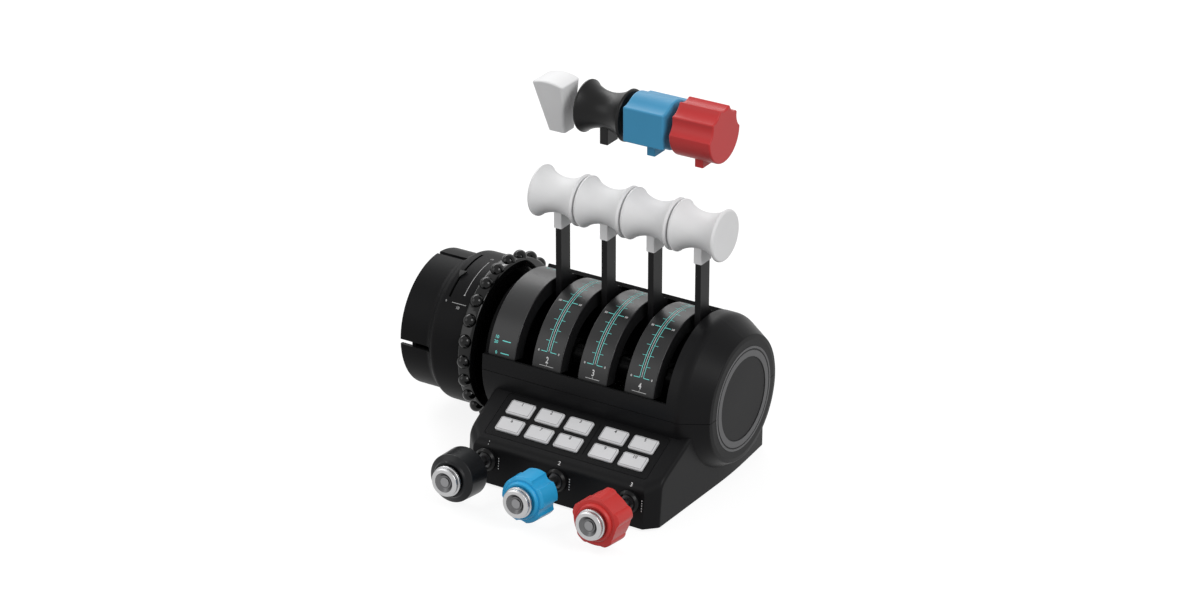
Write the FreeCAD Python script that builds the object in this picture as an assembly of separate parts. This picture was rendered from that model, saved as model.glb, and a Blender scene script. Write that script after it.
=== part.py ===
import FreeCAD, Part
import math
import os

# Throttle quadrant: a barrel-shaped desk housing with four levers on one axle, a trim wheel
# and slotted collar drum on its left, ten push buttons on a sloped apron, three push-pull
# controls on the front face, and a set of four spare lever grips standing above the levers.
#
# Millimetres.  X runs to the right along the barrel axis, -Y is the pilot's side, +Z is up.
# X = 0 is midway between the levers, Y = 0 is the barrel axis, and Z = 0 is the table.
# Shapes are drawn about the barrel axis and raised to their height when they are saved.

# ---- Housing -------------------------------------------------------------------------------
foot_height = 2.0             # rubber strips under the base
base_depth = 66.0             # barrel axis to the underside of the housing
barrel_r = 60.3
left_margin = 3.1             # barrel end to the first scale panel
right_margin = 31.3           # end of the lever window to the right end of the barrel
cone_length = 20.0            # tapered shoulder at the right end
end_face_r = 48.9
end_flat_r = 45.5             # the end face is flat out to here, then falls off a little
end_fall = 0.5
shoulder_round = 14.0
wall = 3.0
seam_gap = 0.4                # visible line between the two shells
seam_depth = 1.2

# ---- Window over the levers, angles measured from the front horizontal up and over ---------
window_front = 12.0
window_rear = 124.0
window_margin = 5.0           # past the middle of the last lever
window_floor_r = 45.0

# ---- Base and apron ------------------------------------------------------------------------
base_front = -106.0           # foot of the front face
base_rear = 57.0
base_half_front = 82.5        # half width of the plan at the front face
base_swell = 4.0              # the plan is this much wider each side under the axis
base_rear_swell = 0.5
base_widest_y = 3.0
base_bow = 400.0              # radius of the sides at the widest place
front_lean = 6.0              # the front face leans back, degrees
apron_slope = 26.0            # degrees
apron_top_y = -58.8           # where the apron meets the barrel
apron_top_z = -13.5
apron_back_y = -40.0          # the apron runs on inside the barrel to here
base_rear_top = -10.0
base_round = 9.0              # along the brow
base_corner_cut = 8.7         # flats at the two front corners
base_corner_round = 1.0
apron_edge_round = 3.0
base_rear_round = 4.0

# ---- Scale panels --------------------------------------------------------------------------
lever_pitch = 40.0
panel_r = 57.3
panel_width = 25.0
panel_first_width = 23.8
panel_thick = 3.5
panel_skirt_wall = 2.0
panel_skirt_r = 46.0
panel_gap = 0.3               # degrees at each sill
panel_tab = 5.0               # degrees that a panel reaches under a sill
panel_tab_gap = 0.25
panel_edge = 0.8

# ---- Levers --------------------------------------------------------------------------------
axle_r = 5.0
running_gap = 0.05
hub_r = 14.0
hub_width = 14.0
hub_side_gap = 0.15
arm_thick = 4.8
arm_depth = 12.6
arm_top = 115.8
arm_flare_z = 64.0            # above this the arm is straight
arm_flare_y = 15.0
arm_flare_foot = 52.5
arm_waist_z = 26.0
sensor_width = 6.0
sensor_half = 9.0
spacer_r = 8.0

# ---- Lever grips ---------------------------------------------------------------------------
grip_z = 127.2
grip_r = 19.7
grip_waist_r = 13.6
grip_half = 19.3
grip_rim = 2.0
stem_width = 6.8
stem_depth = 15.0
stem_foot = 103.0
socket_gap = 0.1

# ---- Spare grips ---------------------------------------------------------------------------
spare_lift = 76.4
wedge_foot = 180.1
wedge_height = 40.9
wedge_crown = 3.0
wedge_shift = -1.2            # it stands this far left of its lever
wedge_top_half = 13.7
wedge_foot_half = 7.1
wedge_top_front = -20.0
wedge_top_rear = 5.0
wedge_foot_front = -6.4
wedge_foot_rear = 8.0
wedge_round = 2.2
block_half = 17.0             # half length of the two fluted spare grips
block_lift = 1.0              # the block and the drum stand higher on their stems
block_depth = 19.1
block_face = 13.5
block_lobe_r = 18.8
block_lobe_half = 10.0
block_ridge_round = 1.2
block_round = 1.6             # at the ends
drum_grip_lift = 2.4
drum_grip_r = 21.7
drum_grip_scallops = 5
drum_grip_dip = 3.2
drum_ridge_round = 1.1
drum_grip_round = 1.2

# ---- Trim wheel and drum -------------------------------------------------------------------
spigot_r = 26.0
spigot_bore = 18.0
neck_r = 50.0
neck_step = 4.0
wheel_gap = 5.9               # from the neck to the wheel
wheel_r = 61.3
wheel_half = 5.8
wheel_round = 0.6
wheel_rim_depth = 7.0
wheel_bumps = 24
bump_first_angle = 2.1
bump_ring_r = 60.9
bump_r = 5.1
wheel_web = 3.0
wheel_hub_wall = 4.0
wheel_side_gap = 0.3
drum_gap = 1.0                # from the wheel to the drum
drum_length = 56.0
drum_r = 58.5
drum_collar_r = 53.5
collar_length = 23.5          # the narrower part at the left
blend_length = 10.0
drum_wall = 3.0
drum_slots = 4
drum_slot_width = 4.0
drum_slot_length = 27.5
drum_web_place = 42.2         # from the left end of the drum
bulkhead_place = 8.8
bulkhead_thick = 3.0
bulkhead_r = 50.1
bulkhead_screw_ring = 22.0
bulkhead_holes = 3
bulkhead_hole_r = 2.1
bulkhead_pcd = 70.0

# ---- Trim pointer --------------------------------------------------------------------------
pointer_place = 37.7          # from the left end of the drum
pointer_angle = 65.5
pointer_slot_low = 45.5
pointer_slot_high = 94.5
pointer_slot_width = 1.9
pointer_neck = 1.1
pointer_length = 6.6
pointer_width = 6.4
pointer_thick = 1.1
pointer_lift = 0.4
pointer_ring = 4.0

# ---- Button apron --------------------------------------------------------------------------
bezel_margin = 6.25           # past the outer buttons
bezel_top = 0.9               # down the slope from the barrel line
bezel_bottom = 40.1
bezel_thick = 1.6
bezel_gap = 0.35
bezel_corner = 2.0
bezel_ledge = 3.0
button_width = 20.8
button_height = 12.6
button_pitch = 25.4
button_extra = 4.7            # wider space after the third column
button_row_pitch = 16.3
button_row_top = 12.5
button_rise = 1.7
button_gap = 0.3
button_corner = 1.6
button_bevel = 0.7
button_flange = 0.9
button_flange_thick = 1.2
button_travel = 1.2
board_thick = 1.6
board_peg_r = 1.1

# ---- Push-pull controls --------------------------------------------------------------------
control_inset = 20.9          # outer controls to the sides at the front
control_height = 19.1         # up the front face from its foot
collar_r = 9.0
collar_bore = 6.4
collar_height = 4.6
bush_r = 5.4
bush_length = 16.0
bush_flange_r = 8.0
nut_across = 11.0
nut_height = 2.6
shaft_r = 4.0
shaft_inner_end = -45.0
shaft_outer_end = 42.5
knob_back = 27.5
knob_front = 46.6
knob_boss_front = 50.2
knob_boss_r = 13.2
knob_recess_r = 11.9
knob_recess_floor = 49.5
knob_well_r = 6.3
knob_well_floor = 43.4
round_knob_r = 19.0
round_knob_front_r = 18.4
lobes = 5
lobe_r = 18.3
flute_r = 15.4
lobe_half_angle = 22.0
star_peak_r = 20.3
star_valley_r = 17.5
star_half_angle = 17.0
cap_r = 11.6
cap_face_r = 10.4
cap_back = 51.7
cap_front = 57.0
cap_stem_r = 6.0
cap_stem = 5.5
cap_dish_r = 7.4
cap_dish_depth = 2.0
cap_button_r = 3.6

# ---- Base fittings -------------------------------------------------------------------------
plate_gap = 0.2
boss_r = 5.0
boss_bite = 0.8               # how far a boss runs into the side wall
boss_front_y = -90.0
boss_rear_y = 44.0
boss_height = 18.0
screw_r = 1.6
screw_head_r = 3.0
screw_head_thick = 1.8
screw_length = 12.0
bench_hole_r = 2.1
bench_x = 100.0
bench_y = 100.0
bench_centre_y = -23.0
strip_half = 42.0
strip_width = 12.0
usb_x = -40.0
usb_z = -48.0
usb_half_width = 5.2
usb_half_height = 2.2
usb_wall = 0.6
usb_depth = 10.0
main_board_half = 45.0
main_board_front = -20.0
main_board_rear = 38.0
standoff = 4.0

board_chips = ((-20, 14), (8, 10), (26, 8))       # where along the board, and how wide
board_chip_y = 4.0
sensor_strip_half = 5.0
sensor_strip_front = -88.0
sensor_strip_rear = -32.0
sensor_strip_height = 3.5

# ---- Places that follow from the sizes above -----------------------------------------------
beyond = 200.0                # clear of every piece, for cutting
lever_x = [(i - 1.5) * lever_pitch for i in range(4)]
panel_lefts = [x - lever_pitch / 2 - panel_width / 2 for x in lever_x]
barrel_left = panel_lefts[0] + panel_width - panel_first_width - left_margin
window_right = lever_x[3] + window_margin
barrel_right = window_right + right_margin
wheel_x = barrel_left - neck_step - wheel_gap - wheel_half
drum_right = wheel_x - wheel_half - drum_gap
drum_left = drum_right - drum_length
drum_blend_left = drum_left + collar_length
drum_blend_right = drum_blend_left + blend_length
drum_web_x = drum_left + drum_web_place
bulkhead_x = drum_left + bulkhead_place
pointer_x = drum_left + pointer_place
base_half_middle = base_half_front + base_swell
base_half_rear = base_half_front + base_rear_swell
bezel_half = 2 * button_pitch + (button_extra + button_width) / 2 + bezel_margin
control_pitch = base_half_front - control_inset
axis_height = base_depth + foot_height
underside = -base_depth
plate_top = underside + wall
X_AXIS = FreeCAD.Vector(1, 0, 0)
UP_AND_OVER = FreeCAD.Vector(-1, 0, 0)      # turns the pilot's side up and over the barrel
ORIGIN = FreeCAD.Vector(0, 0, 0)
os.makedirs("parts", exist_ok=True)


# ---- Drawing tools -------------------------------------------------------------------------
def vec(x, y, z):
    return FreeCAD.Vector(x, y, z)


def box(x0, x1, y0, y1, z0, z1):
    return Part.makeBox(x1 - x0, y1 - y0, z1 - z0, vec(x0, y0, z0))


def rod(radius, x0, x1):
    """A cylinder on the barrel axis."""
    return Part.makeCylinder(radius, x1 - x0, vec(x0, 0, 0), X_AXIS)


def tube(outer, inner, x0, x1):
    return rod(outer, x0, x1).cut(rod(inner, x0 - 1, x1 + 1))


def post(radius, z0, z1, x=0, y=0):
    return Part.makeCylinder(radius, z1 - z0, vec(x, y, z0), vec(0, 0, 1))


def outline(points, place):
    """A closed wire through (u, v) or (u, v, corner radius) points, put in space by place."""
    corners = []
    for i, point in enumerate(points):
        here = vec(point[0], point[1], 0)
        radius = point[2] if len(point) > 2 else 0
        if radius == 0:
            corners.append((here, None, here))
            continue
        before = points[i - 1]
        after = points[(i + 1) % len(points)]
        to_before = (vec(before[0], before[1], 0) - here).normalize()
        to_after = (vec(after[0], after[1], 0) - here).normalize()
        half = to_before.getAngle(to_after) / 2
        reach = radius / math.tan(half)
        bisector = (to_before + to_after).normalize()
        middle = here + bisector * (radius / math.sin(half) - radius)
        corners.append((here + to_before * reach, middle, here + to_after * reach))
    edges = []
    for i, (start, middle, end) in enumerate(corners):
        if middle is not None:
            arc = Part.Arc(place(start.x, start.y), place(middle.x, middle.y), place(end.x, end.y))
            edges.append(arc.toShape())
        following = corners[(i + 1) % len(corners)][0]
        if (following - end).Length > 1e-6:
            edges.append(Part.makeLine(place(end.x, end.y), place(following.x, following.y)))
    return Part.Wire(edges)


def arc_outline(points):
    """A closed wire of three-point arcs: points holds (end, middle) pairs around the shape."""
    edges = []
    for i, (start, middle) in enumerate(points):
        end = points[(i + 1) % len(points)][0]
        edges.append(Part.Arc(start, middle, end).toShape())
    return Part.Wire(edges)


def turned(points):
    """Revolve a profile of (x, radius, corner radius) points about the barrel axis."""
    wire = outline(points, lambda x, r: vec(x, 0, r))
    return Part.Face(wire).revolve(ORIGIN, X_AXIS, 360)


def lathe(points):
    """Revolve a profile of (radius, z, corner radius) points about Z."""
    wire = outline(points, lambda r, z: vec(r, 0, z))
    return Part.Face(wire).revolve(ORIGIN, vec(0, 0, 1), 360)


def side_plate(points, x0, x1):
    """Extrude a profile of (y, z, corner radius) points from x0 to x1."""
    wire = outline(points, lambda y, z: vec(x0, y, z))
    return Part.Face(wire).extrude(vec(x1 - x0, 0, 0))


def flat_plate(points, z0, z1):
    wire = outline(points, lambda x, y: vec(x, y, z0))
    return Part.Face(wire).extrude(vec(0, 0, z1 - z0))


def rounded_rectangle(half_x, low_y, high_y, corner):
    return [(-half_x, low_y, corner), (half_x, low_y, corner),
            (half_x, high_y, corner), (-half_x, high_y, corner)]


def sector(outer, inner, x0, x1, from_angle, to_angle):
    """A curved block between two radii and two angles from the front horizontal."""
    corners = [vec(x0, -inner, 0), vec(x1, -inner, 0), vec(x1, -outer, 0), vec(x0, -outer, 0)]
    face = Part.Face(Part.makePolygon(corners + [corners[0]]))
    face.rotate(ORIGIN, UP_AND_OVER, from_angle)
    return face.revolve(ORIGIN, UP_AND_OVER, to_angle - from_angle)


def on_ring(radius, angle, x=0.0):
    """A point at an angle from the front horizontal, up and over."""
    turn = math.radians(angle)
    return vec(x, -radius * math.cos(turn), radius * math.sin(turn))


def on_apron(shape):
    """Lay a shape drawn flat on the apron: +Y up the slope, +Z out of it."""
    placed = shape.copy()
    placed.rotate(ORIGIN, X_AXIS, apron_slope)
    placed.translate(vec(0, apron_top_y, apron_top_z))
    return placed


def on_front(shape, x):
    """Stand a shape drawn flat on the front face, at a control: +Z out of the face."""
    lean = math.radians(front_lean)
    placed = shape.copy()
    placed.rotate(ORIGIN, X_AXIS, 90 - front_lean)
    placed.translate(vec(x, base_front + control_height * math.sin(lean),
                         underside + control_height * math.cos(lean)))
    return placed


def rounded(shape, radius, wanted):
    """Round the edges for which wanted(edge) is true."""
    return shape.makeFillet(radius, [edge for edge in shape.Edges if wanted(edge)])


def save(name, *solids):
    """Raise the solids from the barrel axis to their height and write them as one node."""
    pieces = []
    for solid in solids:
        piece = solid.removeSplitter()
        piece.translate(vec(0, 0, axis_height))
        pieces.extend(piece.Solids)
    shape = pieces[0] if len(pieces) == 1 else Part.makeCompound(pieces)
    shape.exportStep("parts/" + name + ".step")


# ---- Housing shells ------------------------------------------------------------------------
def barrel_solid(inset):
    """The barrel as a solid of revolution, all its faces moved in by inset."""
    taper = math.atan((barrel_r - end_face_r) / cone_length)
    cone_start = barrel_right - cone_length - inset * math.tan(taper / 2)
    end_r = end_face_r + inset * math.tan(taper) - inset / math.cos(taper)
    left = barrel_left + inset
    right = barrel_right - inset
    return turned([(left, 0), (left, barrel_r - inset, 1.0 if inset == 0 else 0),
                   (cone_start, barrel_r - inset, shoulder_round - inset),
                   (right - end_fall, end_r, 1.0 if inset == 0 else 0),
                   (right, end_flat_r - inset), (right, 0)])


def base_plan(inset):
    front = base_half_front - inset
    middle = base_half_middle - inset
    rear = base_half_rear - inset
    return [(-front, base_front - 1), (front, base_front - 1), (middle, base_widest_y, base_bow),
            (rear, base_rear - inset), (-rear, base_rear - inset),
            (-middle, base_widest_y, base_bow)]


def half_width(y):
    """Half the width of the base at y."""
    if y < base_widest_y:
        share = (y - base_front) / (base_widest_y - base_front)
        return base_half_front + share * base_swell
    share = (y - base_widest_y) / (base_rear - base_widest_y)
    return base_half_middle + share * (base_half_rear - base_half_middle)


def corner_cut(inset):
    """The cut at a front corner of the base, for a wall of even thickness."""
    return base_corner_cut - inset * (2 - math.sqrt(2))


def base_block(inset, foot):
    """The base under the barrel, from foot up, all its walls moved in by inset."""
    lean = math.tan(math.radians(front_lean))
    slope = math.tan(math.radians(apron_slope))
    front_y = base_front + inset / math.cos(math.radians(front_lean))
    apron_z = apron_top_z - inset / math.cos(math.radians(apron_slope))
    at_foot = front_y + (foot - underside) * lean
    # the front line and the apron line cross at the brow
    brow_z = (apron_z + (front_y - underside * lean - apron_top_y) * slope) / (1 - lean * slope)
    brow_y = front_y + (brow_z - underside) * lean
    back_z = apron_z + (apron_back_y - apron_top_y) * slope
    rear = base_rear - inset
    side = [(at_foot, foot), (brow_y, brow_z), (apron_back_y, back_z),
            (rear - 10, back_z), (rear, base_rear_top), (rear, foot)]
    block = side_plate(side, -base_half_middle - 1, base_half_middle + 1)
    plan = flat_plate(base_plan(inset), foot - 1, 1)
    block = block.common(plan)

    def front_corner(edge):
        reach = edge.BoundBox
        return reach.YMax < brow_y + 0.01 and reach.ZLength > (brow_z - foot) / 2 and reach.YMax < apron_top_y

    def brow(edge):
        reach = edge.BoundBox
        return reach.YMax < brow_y + base_corner_cut * 1.2 and reach.ZMin > brow_z - 0.01

    def apron_side(edge):
        reach = edge.BoundBox
        return reach.YMax > apron_back_y - 0.1 and reach.YMin < apron_top_y - 10 and reach.ZMin > foot

    def flat_side(edge):
        reach = edge.BoundBox
        return reach.ZMin < foot + 0.01 and reach.ZLength > 10 and reach.YMax < apron_top_y

    def rear_corner(edge):
        reach = edge.BoundBox
        return reach.YMin > rear - 0.01 and reach.ZLength > 1

    block = block.makeChamfer(corner_cut(inset), [e for e in block.Edges if front_corner(e)])
    if inset > 0:
        return block
    block = rounded(block, base_round, brow)
    block = rounded(block, apron_edge_round, apron_side)
    block = rounded(block, base_corner_round, flat_side)
    return rounded(block, base_rear_round, rear_corner)


half_space = box(-beyond, beyond, -beyond, beyond, 0, beyond)
below_seam = box(-beyond, beyond, -beyond, beyond, -beyond, 0)
cavity = barrel_solid(wall)
axle_hole = rod(axle_r + running_gap, barrel_left - 1, barrel_right - 1)

# upper shell: half the barrel wall with the lever window, and a lip that closes the seam
shell = barrel_solid(0).cut(cavity)
above_gap = box(-beyond, beyond, -beyond, beyond, seam_gap, beyond)
lip = barrel_solid(seam_depth).cut(cavity).common(half_space)
upper_shell = shell.common(above_gap).fuse(lip)
window = sector(barrel_r + 2, window_floor_r, barrel_left - 1, window_right,
                window_front, window_rear)
upper_shell = upper_shell.cut(window).cut(axle_hole)

# inlays in the right end face: a thin outer ring, a wide ring and a centre disc
inlay_depth = 1.0
inlay_gap = 0.12
outer_ring = (40.0, 38.3)
inner_ring = (37.1, 32.4)
disc_r = 31.6
inlay_floor = barrel_right - inlay_depth
inlay_cut = tube(outer_ring[0] + inlay_gap, outer_ring[1] - inlay_gap, inlay_floor, beyond)
inlay_cut = inlay_cut.fuse(tube(inner_ring[0] + inlay_gap, inner_ring[1] - inlay_gap,
                                inlay_floor, beyond))
inlay_cut = inlay_cut.fuse(rod(disc_r + inlay_gap, inlay_floor, beyond))
save("upper_shell", upper_shell.cut(inlay_cut))
save("end_rings", tube(outer_ring[0], outer_ring[1], inlay_floor, barrel_right + 0.15),
     tube(inner_ring[0], inner_ring[1], inlay_floor, barrel_right + 0.15))
save("end_disc", rod(disc_r, inlay_floor, barrel_right - 0.2))

# lower shell: the other half of the barrel with the base and apron, hollow and open below
lower_shell = barrel_solid(0).common(below_seam).fuse(base_block(0, underside))
lower_shell = lower_shell.cut(cavity).cut(base_block(wall, underside - 1))
boss_places = []
for y in (boss_front_y, boss_rear_y):
    boss_x = half_width(y) - wall - boss_r + boss_bite
    boss_places.extend([(-boss_x, y), (boss_x, y)])
for x, y in boss_places:
    lower_shell = lower_shell.fuse(post(boss_r, plate_top, plate_top + boss_height, x, y))
for x, y in boss_places:
    pilot = post(screw_r + running_gap, plate_top - 1, plate_top + screw_length, x, y)
    lower_shell = lower_shell.cut(pilot)
lower_shell = lower_shell.cut(axle_hole).cut(inlay_cut)

# apron pocket: the bezel sits flush on a ledge round one window for the buttons
pocket_half = bezel_half + bezel_gap
pocket = flat_plate(rounded_rectangle(pocket_half, -bezel_bottom - bezel_gap,
                                      -bezel_top + bezel_gap, bezel_corner + bezel_gap),
                    -bezel_thick, 5)
opening = flat_plate(rounded_rectangle(bezel_half - bezel_ledge, -bezel_bottom + bezel_ledge,
                                       -bezel_top - bezel_ledge, bezel_corner), -12, 5)
lower_shell = lower_shell.cut(on_apron(pocket)).cut(on_apron(opening))

# holes for the three control bushes and the data socket
control_x = [i * control_pitch for i in (-1, 0, 1)]
for x in control_x:
    hole = on_front(post(bush_r + running_gap, -wall - 3, 3), x)
    lower_shell = lower_shell.cut(hole)
usb_hole = box(usb_x - usb_half_width - socket_gap, usb_x + usb_half_width + socket_gap,
               base_rear - wall - 1, base_rear + 1,
               usb_z - usb_half_height - socket_gap, usb_z + usb_half_height + socket_gap)
save("lower_shell", lower_shell.cut(usb_hole))

usb_shell = box(usb_x - usb_half_width, usb_x + usb_half_width, base_rear - usb_depth,
                base_rear - 0.2, usb_z - usb_half_height, usb_z + usb_half_height)
usb_shell = rounded(usb_shell, usb_half_height - 0.2,
                    lambda edge: abs(edge.Vertexes[0].Y - edge.Vertexes[-1].Y) > 1)
usb_mouth = box(usb_x - usb_half_width + usb_wall, usb_x + usb_half_width - usb_wall,
                base_rear - usb_depth + 2, base_rear + 1,
                usb_z - usb_half_height + usb_wall, usb_z + usb_half_height - usb_wall)
usb_tongue = box(usb_x - 3.2, usb_x + 3.2, base_rear - usb_depth + 1, base_rear - 1.5,
                 usb_z - 0.4, usb_z + 0.4)
save("usb_socket", usb_shell.cut(usb_mouth).fuse(usb_tongue))


# ---- Base plate, feet and boards -----------------------------------------------------------
plate_points = base_plan(wall + plate_gap)
plate_front = base_front + wall + plate_gap + (wall * math.tan(math.radians(front_lean)))
plate_side = plate_points[1][0]
plate_cut = corner_cut(wall) + plate_gap
plate_points[0:2] = [(-plate_side, plate_front + plate_cut), (plate_cut - plate_side, plate_front),
                     (plate_side - plate_cut, plate_front), (plate_side, plate_front + plate_cut)]
bottom_plate = flat_plate(plate_points, underside, plate_top)
screws = []
for x, y in boss_places:
    seat = post(screw_head_r + plate_gap, underside - 1, underside + screw_head_thick, x, y)
    through = post(screw_r + plate_gap, underside - 1, plate_top + 1, x, y)
    bottom_plate = bottom_plate.cut(seat).cut(through)
    head = post(screw_head_r, underside + 0.2, underside + screw_head_thick, x, y)
    slot = box(x - screw_head_r, x + screw_head_r, y - 0.4, y + 0.4, underside, underside + 0.8)
    shank = post(screw_r, underside + screw_head_thick, underside + screw_length, x, y)
    screws.append(head.cut(slot).fuse(shank))
save("base_screws", *screws)
for x in (-bench_x / 2, bench_x / 2):
    for y in (bench_centre_y - bench_y / 2, bench_centre_y + bench_y / 2):
        bottom_plate = bottom_plate.cut(post(bench_hole_r, underside - 1, plate_top + 1, x, y))
board_posts = [(x, y) for x in (-main_board_half + 5, main_board_half - 5)
               for y in (main_board_front + 5, main_board_rear - 5)]
for x, y in board_posts:
    bottom_plate = bottom_plate.fuse(post(3.0, plate_top, plate_top + standoff, x, y))
save("bottom_plate", bottom_plate)

strips = []
for y in (boss_front_y + 12, 0, boss_rear_y - 12):
    strip = flat_plate([(-strip_half, y - strip_width / 2, 2), (strip_half, y - strip_width / 2, 2),
                        (strip_half, y + strip_width / 2, 2), (-strip_half, y + strip_width / 2, 2)],
                       underside - foot_height, underside)
    strips.append(strip)
save("rubber_feet", *strips)

main_board = box(-main_board_half, main_board_half, main_board_front, main_board_rear,
                 plate_top + standoff, plate_top + standoff + board_thick)
chip_floor = plate_top + standoff + board_thick
for x, w in board_chips:
    chip = box(x - w / 2, x + w / 2, board_chip_y, board_chip_y + w, chip_floor,
               chip_floor + board_thick)
    main_board = main_board.fuse(chip)
save("main_board", main_board)

sensor_strips = []
for x in control_x:
    sensor_strips.append(box(x - sensor_strip_half, x + sensor_strip_half, sensor_strip_front,
                             sensor_strip_rear, plate_top, plate_top + sensor_strip_height))
save("travel_sensors", *sensor_strips)


# ---- Scale panels --------------------------------------------------------------------------
def scale_panel(left, width):
    """An arched cover with two skirts, and tabs at both ends that reach under the sills."""
    front = window_front + panel_gap
    rear = window_rear - panel_gap
    right = left + width
    under = panel_r - panel_thick
    arch = sector(panel_r, panel_skirt_r, left, right, front, rear)
    hollow = sector(under, panel_skirt_r - 1, left + panel_skirt_wall,
                    right - panel_skirt_wall, front - 1, rear + 1)

    def long_edge(edge):
        middle = edge.valueAt((edge.FirstParameter + edge.LastParameter) / 2)
        radius = math.hypot(middle.y, middle.z)
        return abs(radius - panel_r) < 0.01 and edge.Length > 50

    arch = rounded(arch, panel_edge, long_edge).cut(hollow)
    tab_r = barrel_r - wall - panel_tab_gap
    for start, end in ((front - panel_tab, front + 1), (rear - 1, rear + panel_tab)):
        arch = arch.fuse(sector(tab_r, under, left + 1.5, right - 1.5, start, end))
    return arch


for i, left in enumerate(panel_lefts):
    if i == 0:
        save("scale_panel_1", scale_panel(left + panel_width - panel_first_width,
                                          panel_first_width))
    else:
        save("scale_panel_%d" % (i + 1), scale_panel(left, panel_width))


# ---- Lever axle, sensors and spacers -------------------------------------------------------
inner_left = barrel_left + wall
inner_right = barrel_right - wall
save("lever_axle", rod(axle_r, barrel_left, inner_right + wall - inlay_depth))
spacers = []
sensors = []
edge_x = inner_left
for x in lever_x:
    spacers.append(tube(spacer_r, axle_r + running_gap, edge_x, x - hub_width / 2 - hub_side_gap))
    sensor_left = x + hub_width / 2 + hub_side_gap
    block = box(sensor_left, sensor_left + sensor_width, -sensor_half, sensor_half,
                -sensor_half, sensor_half)
    block = rounded(block, 2.0, lambda edge: abs(edge.Vertexes[0].X - edge.Vertexes[-1].X) > 1)
    sensors.append(block.cut(rod(axle_r + running_gap, sensor_left - 1,
                                 sensor_left + sensor_width + 1)))
    edge_x = sensor_left + sensor_width
spacers.append(tube(spacer_r, axle_r + running_gap, edge_x, inner_right))
save("axle_spacers", *spacers)
save("lever_sensors", *sensors)


# ---- Levers and grips ----------------------------------------------------------------------
def lever(x):
    """A hub with a flat steel arm that widens to the rear where it enters the slot."""
    half = arm_depth / 2
    arm = [(-half, arm_top, 0.8), (-half, arm_waist_z, 8), (-hub_r + 2, 0), (hub_r - 2, 0),
           (hub_r - 1, arm_waist_z), (arm_flare_y, arm_flare_foot, 1.5), (half, arm_flare_z, 3),
           (half, arm_top, 0.8)]
    blade = side_plate(arm, x - arm_thick / 2, x + arm_thick / 2)
    hub = rod(hub_r, x - hub_width / 2, x + hub_width / 2)
    bore = rod(axle_r + running_gap, x - hub_width, x + hub_width)
    return blade.fuse(hub).cut(bore)


def spool(x, z):
    """A waisted grip turned about X, with a square stem under it."""
    profile = [(-grip_half, 0), (-grip_half, grip_r, 1.6), (-grip_half + grip_rim, grip_r, 0.6)]
    waist_start = vec(-grip_half + grip_rim, 0, grip_r - 0.3)
    waist_end = vec(grip_half - grip_rim, 0, grip_r - 0.3)
    waist = Part.Arc(waist_start, vec(0, 0, grip_waist_r), waist_end).toShape()
    blank = turned([(-grip_half, 0), (-grip_half, grip_r, 1.6), (grip_half, grip_r, 1.6),
                    (grip_half, 0)])
    ring = Part.Wire([waist, Part.makeLine(waist_end, vec(grip_half - grip_rim, 0, grip_r + 5)),
                      Part.makeLine(vec(grip_half - grip_rim, 0, grip_r + 5),
                                    vec(-grip_half + grip_rim, 0, grip_r + 5)),
                      Part.makeLine(vec(-grip_half + grip_rim, 0, grip_r + 5), waist_start)])
    cutter = Part.Face(ring).revolve(ORIGIN, X_AXIS, 360)
    body = blank.cut(cutter)
    body.translate(vec(x, 0, z))
    return body


def stem(x, z_low, z_high):
    block = box(x - stem_width / 2, x + stem_width / 2, -stem_depth / 2, stem_depth / 2,
                z_low, z_high)
    return rounded(block, 0.7, lambda edge: abs(edge.Vertexes[0].Z - edge.Vertexes[-1].Z) > 5)


def arm_socket(x, z_low):
    half = arm_thick / 2 + socket_gap
    depth = arm_depth / 2 + socket_gap
    return box(x - half, x + half, -depth, depth, z_low - 1, z_low + arm_top - stem_foot + socket_gap)


stem_top = grip_z - grip_waist_r + 2.5
for i, x in enumerate(lever_x):
    save("lever_%d" % (i + 1), lever(x))
    grip = spool(x, grip_z).fuse(stem(x, stem_foot, stem_top))
    save("lever_grip_%d" % (i + 1), grip.cut(arm_socket(x, stem_foot)))


# ---- Spare grips ---------------------------------------------------------------------------
def wedge_section(half, front, rear, z, x):
    return outline(rounded_rectangle(half, front, rear, 0), lambda u, v: vec(x + u, v, z))


def wedge_grip(x):
    """A flap-style wedge, wider and set forward at the top, with a crowned top face."""
    wedge_top = wedge_foot + wedge_height
    foot = wedge_section(wedge_foot_half, wedge_foot_front, wedge_foot_rear, wedge_foot, x)
    top = wedge_section(wedge_top_half, wedge_top_front, wedge_top_rear,
                        wedge_top + wedge_crown, x)
    body = Part.makeLoft([foot, top], True, True)
    crown_r = (wedge_top_half ** 2 + wedge_crown ** 2) / (2 * wedge_crown)
    crown = Part.makeCylinder(crown_r, 2 * beyond, vec(x, -beyond, wedge_top + wedge_crown - crown_r),
                              vec(0, 1, 0))
    under_crown = box(-beyond, beyond, -beyond, beyond, 0, wedge_top - wedge_height / 7)
    body = body.common(crown.fuse(under_crown))
    body = body.removeSplitter()
    body = rounded(body, wedge_round, lambda edge: edge.BoundBox.ZLength > wedge_height / 2)
    return rounded(body, 1.2, lambda edge: edge.BoundBox.ZMin > wedge_top - wedge_crown)


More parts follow.
